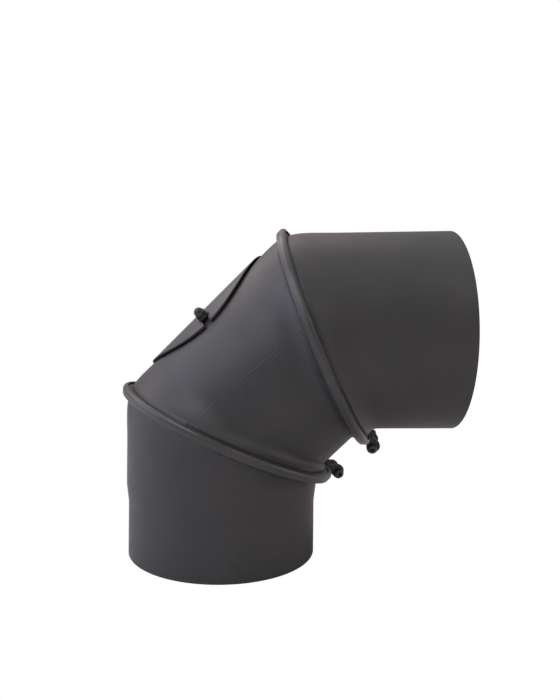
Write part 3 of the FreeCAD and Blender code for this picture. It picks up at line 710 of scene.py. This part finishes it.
def hex_nut():
    """The clamp screw's nut, with its bore chamfered at both faces."""
    loops, angles = hexagon_loops(NUT_FLATS, NUT_HEIGHT)
    bore = [(CLAMP_HOLE + NUT_CHAMFER, NUT_HEIGHT), (CLAMP_HOLE, NUT_HEIGHT - NUT_CHAMFER),
            (CLAMP_HOLE, NUT_CHAMFER), (CLAMP_HOLE + NUT_CHAMFER, 0.0)]
    return skin(loops + [circle(radius, level, angles) for radius, level in bore])


def cap_nut():
    """Hexagon under a dome, with a blind hole from below."""
    loops, angles = hexagon_loops(CAP_FLATS, CAP_HEXAGON_HEIGHT)
    for step in range(13):
        turn = math.radians(7.5 * step)
        level = DOME_FOOT + DOME_RADIUS * math.sin(turn)
        loops.append(circle(DOME_RADIUS * math.cos(turn), level, angles))
    return skin(loops + [circle(radius, level, angles) for radius, level in CAP_BORE])


def washer(outer, hole, thickness):
    """Flat disc with a hole and softened edges, from Z = 0 up."""
    soft = min(0.25, thickness / 3)
    return revolved(rounded([(outer, 0.0, soft), (outer, thickness, soft),
                             (hole, thickness, soft / 2), (hole, 0.0, soft / 2)], steps=3))


def recess_slot(length, width):
    """Slot of a cross recess, a little wider at the top."""
    loops = []
    for grow, level in ((0.82, RECESS_LOW), (1.12, RECESS_HIGH)):
        x, y = length / 2 * grow, width / 2 * grow
        loops.append([(-x, -y, level), (x, -y, level), (x, y, level), (-x, y, level)])
    return capped(loops)


def clamp_screw(prefix, place):
    """Pan-head screw with a cross recess and a threaded shank, head up from Z = 0."""
    name = prefix + "_clamp_screw"
    head = add_piece(name + "_head", revolved(PAN_HEAD), (head_black,), prefix + "_screw",
                     (name,), place=place, sharp=40.0)
    cross = [recess_slot(RECESS_LENGTH, RECESS_WIDTH), recess_slot(RECESS_WIDTH, RECESS_LENGTH)]
    cut_away(head, cross, place, sharp=40.0)
    add_piece(name + "_shank", threaded_shank(), (black,), prefix + "_screw", place=place,
              sharp=80.0)


def clamp(prefix):
    """Ring with its two lugs, closed by a screw with a washer at its head and a nut."""
    body = prefix + "_clamp"
    half = RING_GAP / 2
    clamp_ring(prefix)
    lug(prefix, "front", LUG_THICKNESS / 2 - half)
    lug(prefix, "back", half - LUG_THICKNESS / 2)
    eye = CLAMP_FRAMES[prefix] @ Matrix.Translation((SCREW_OFFSET, 0.0, SCREW_HEIGHT))
    front = eye @ Matrix.Translation((0.0, -half, 0.0)) @ rotation(90.0, "X")
    back = eye @ Matrix.Translation((0.0, half, 0.0)) @ rotation(-90.0, "X")
    disc = washer(CLAMP_WASHER_RADIUS, CLAMP_HOLE, CLAMP_WASHER_THICKNESS)
    add_piece(body + "_washer_disc", disc, (black,), body, (body + "_washer",), place=front)
    clamp_screw(prefix, raised(front, CLAMP_WASHER_THICKNESS))
    add_piece(body + "_nut_hex", hex_nut(), (black,), body, (body + "_nut",), place=back,
              sharp=30.0)


clamp("lower")
clamp("upper")


# ---------------------------------------------------------------- hatch

def oval_loop(half_length, half_width, radius):
    """Ellipse, seen along Z, laid on a cylinder about X."""
    loop = []
    for angle in round_angles(OVAL_STEPS):
        x, y = half_length * math.cos(angle), half_width * math.sin(angle)
        loop.append((x, y, math.sqrt(radius * radius - y * y)))
    return loop


def notch_cutters():
    """Round-ended slots, open to the cover's sides, that clear the two studs."""
    steps = 24
    rim = [(NOTCH_RADIUS * math.cos(math.pi * k / steps),
            NOTCH_OFFSET - NOTCH_RADIUS * math.sin(math.pi * k / steps)) for k in range(steps + 1)]
    rim += [(-NOTCH_RADIUS, NOTCH_REACH), (NOTCH_RADIUS, NOTCH_REACH)]
    return [capped([[(x, y * side, level) for x, y in rim] for level in NOTCH_CUT])
            for side in (-1.0, 1.0)]


def hatch_cover():
    """Oval sheet rolled to the pipe's curve; its edge gets the gasket's dark fibre as painted shade.
    """
    a, b, soft, chamfer = COVER_HALF_LENGTH, COVER_HALF_WIDTH, COVER_SOFTNESS, COVER_CHAMFER
    shares = [k / 20.0 for k in range(1, 21)]
    rows = [oval_loop((a - soft) * t, (b - soft) * t, COVER_TOP) for t in shares]
    for step in range(1, 5):
        turn = math.pi / 2 * step / 4
        grow = soft * (1 - math.sin(turn))
        rows.append(oval_loop(a - grow, b - grow, COVER_TOP - soft * (1 - math.cos(turn))))
    edge = len(shares)
    rows.append(oval_loop(a, b, COVER_BOTTOM + chamfer))
    underside = len(rows)
    rows += [oval_loop((a - chamfer) * t, (b - chamfer) * t, COVER_BOTTOM)
             for t in reversed(shares)]
    # Painted shade: the cover's rounded edge, side and chamfer take the dark gasket material.
    item = add_piece("hatch_cover_sheet", capped(rows), (cover_paint, gasket_fibre_and_edge_shade), "hatch",
                     ("hatch_cover",), HATCH,
                     marked=range(edge * OVAL_STEPS, underside * OVAL_STEPS))
    cut_away(item, notch_cutters(), HATCH)


def hatch_gasket():
    """Oval band between pipe and cover, wide at its sides and slightly swollen at its rim."""
    low, high = GASKET_BOTTOM, COVER_BOTTOM
    under_cover = high - GASKET_GAP
    rows = [oval_loop(a, b, radius) for a, b, radius in (
        (50.0, 34.0, low), (53.0, 40.0, low), (55.0, 56.6, low), (55.4, 57.0, low + 0.35),
        (55.5, 57.1, (low + high) / 2), (55.4, 57.0, high - 0.35), (55.0, 56.6, under_cover),
        (53.0, 40.0, under_cover), (50.0, 34.0, under_cover))]
    item = add_piece("hatch_gasket_band", skin(rows), (gasket_fibre_and_edge_shade,), "hatch",
                     ("hatch_gasket",), HATCH, sharp=60.0)
    cut_away(item, notch_cutters(), HATCH, sharp=60.0)


hatch_cover()
hatch_gasket()
for side, home in STUD_FRAMES.items():
    add_piece(f"hatch_washer_{side}_disc", washer(WASHER_RADIUS, STUD_HOLE, WASHER_THICKNESS),
              (black,), f"washer_{side}", (f"hatch_washer_{side}",), place=raised(home, WASHER_SEAT))
    add_piece(f"hatch_cap_nut_{side}_dome", cap_nut(), (black,), f"nut_{side}",
              (f"hatch_cap_nut_{side}",), place=raised(home, CAP_NUT_SEAT), sharp=32.0)

# The seals and the studs are shown by the CAD's nodes themselves.
for name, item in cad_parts.items():
    chosen = rope_fibre if "seal" in name else black if "stud" in name else paint
    item.data.materials.clear()
    item.data.materials.append(chosen)


# ---------------------------------------------------------------- floor, backdrop and light

def blended(tree, factor, first, second):
    """Shader that is the first where the factor is 0, and the second where it is 1."""
    blend = tree.nodes.new("ShaderNodeMixShader")
    tree.links.new(factor, blend.inputs["Fac"])
    tree.links.new(first, blend.inputs[1])
    tree.links.new(second, blend.inputs[2])
    return blend.outputs["Shader"]


floor_material, floor_tree, floor_shader = new_material("floor_white")
floor_shader.inputs["Base Color"].default_value = (0.9, 0.9, 0.9, 1.0)
floor_shader.inputs["Roughness"].default_value = 0.9
floor_path = floor_tree.nodes.new("ShaderNodeLightPath")
glow = floor_tree.nodes.new("ShaderNodeEmission")
glow.inputs["Strength"].default_value = 1.0
floor_look = blended(floor_tree, floor_path.outputs["Is Camera Ray"], floor_shader.outputs["BSDF"],
                     glow.outputs["Emission"])
floor_tree.links.new(floor_look, floor_tree.nodes["Material Output"].inputs["Surface"])

floor_mesh = bpy.data.meshes.new("floor")
builder = bmesh.new()
bmesh.ops.create_grid(builder, x_segments=1, y_segments=1, size=6.0)
builder.to_mesh(floor_mesh)
builder.free()
floor = bpy.data.objects.new("floor", floor_mesh)
scene.collection.objects.link(floor)
floor_mesh.materials.append(floor_material)

world = bpy.data.worlds.new("studio")
world.use_nodes = True
scene.world = world
sky = world.node_tree


def background(node, color, strength):
    node.inputs["Color"].default_value = (*color, 1.0)
    node.inputs["Strength"].default_value = strength
    return node.outputs["Background"]


# The room is dim and warm; the camera sees its white backdrop, and gloss a dimmer one.
room = background(sky.nodes.new("ShaderNodeBackground"), (1.0, 0.78, 0.60), 0.125)
mirrored = background(sky.nodes.new("ShaderNodeBackground"), (1.0, 0.97, 0.96), 0.40)
backdrop = background(sky.nodes["Background"], (1.0, 1.0, 1.0), 1.0)
sky_path = sky.nodes.new("ShaderNodeLightPath")
lit = blended(sky, sky_path.outputs["Is Glossy Ray"], room, mirrored)
seen = blended(sky, sky_path.outputs["Is Camera Ray"], lit, backdrop)
sky.links.new(seen, sky.nodes["World Output"].inputs["Surface"])


ELBOW_MIDDLE = Vector((0.05, 0.0, 0.13))


def softbox(name, location, size, watts, tint):
    """Square lamp aimed at the middle of the elbow."""
    data = bpy.data.lights.new(name, "AREA")
    data.shape = "SQUARE"
    data.size = size
    data.energy = watts
    data.color = tint
    lamp = bpy.data.objects.new(name, data)
    lamp.location = location
    aim = ELBOW_MIDDLE - Vector(location)
    lamp.rotation_euler = aim.to_track_quat("-Z", "Y").to_euler()
    scene.collection.objects.link(lamp)


softbox("key", (-0.9, -1.0, 1.3), 1.2, 11.3, (0.88, 0.90, 1.0))
softbox("top", (0.1, 0.1, 1.6), 1.6, 4.0, (0.95, 0.95, 1.0))
softbox("top_right", (1.0, -0.9, 1.3), 1.2, 3.7, (1.0, 0.98, 1.0))
softbox("top_left", (-1.5, 0.1, 1.2), 1.2, 5.7, (0.87, 0.86, 1.0))
softbox("top_left_back", (-0.9, 0.9, 1.5), 1.2, 6.8, (1.0, 0.87, 0.93))
softbox("top_back", (-0.1, 0.9, 1.4), 1.2, 2.0, (1.0, 0.80, 0.64))
softbox("right", (1.5, -0.4, 0.1), 1.2, 4.0, (1.0, 0.92, 0.90))
softbox("left", (-1.6, 0.0, 0.35), 1.2, 7.6, (0.62, 0.74, 1.0))

scene.view_settings.view_transform = "Standard"
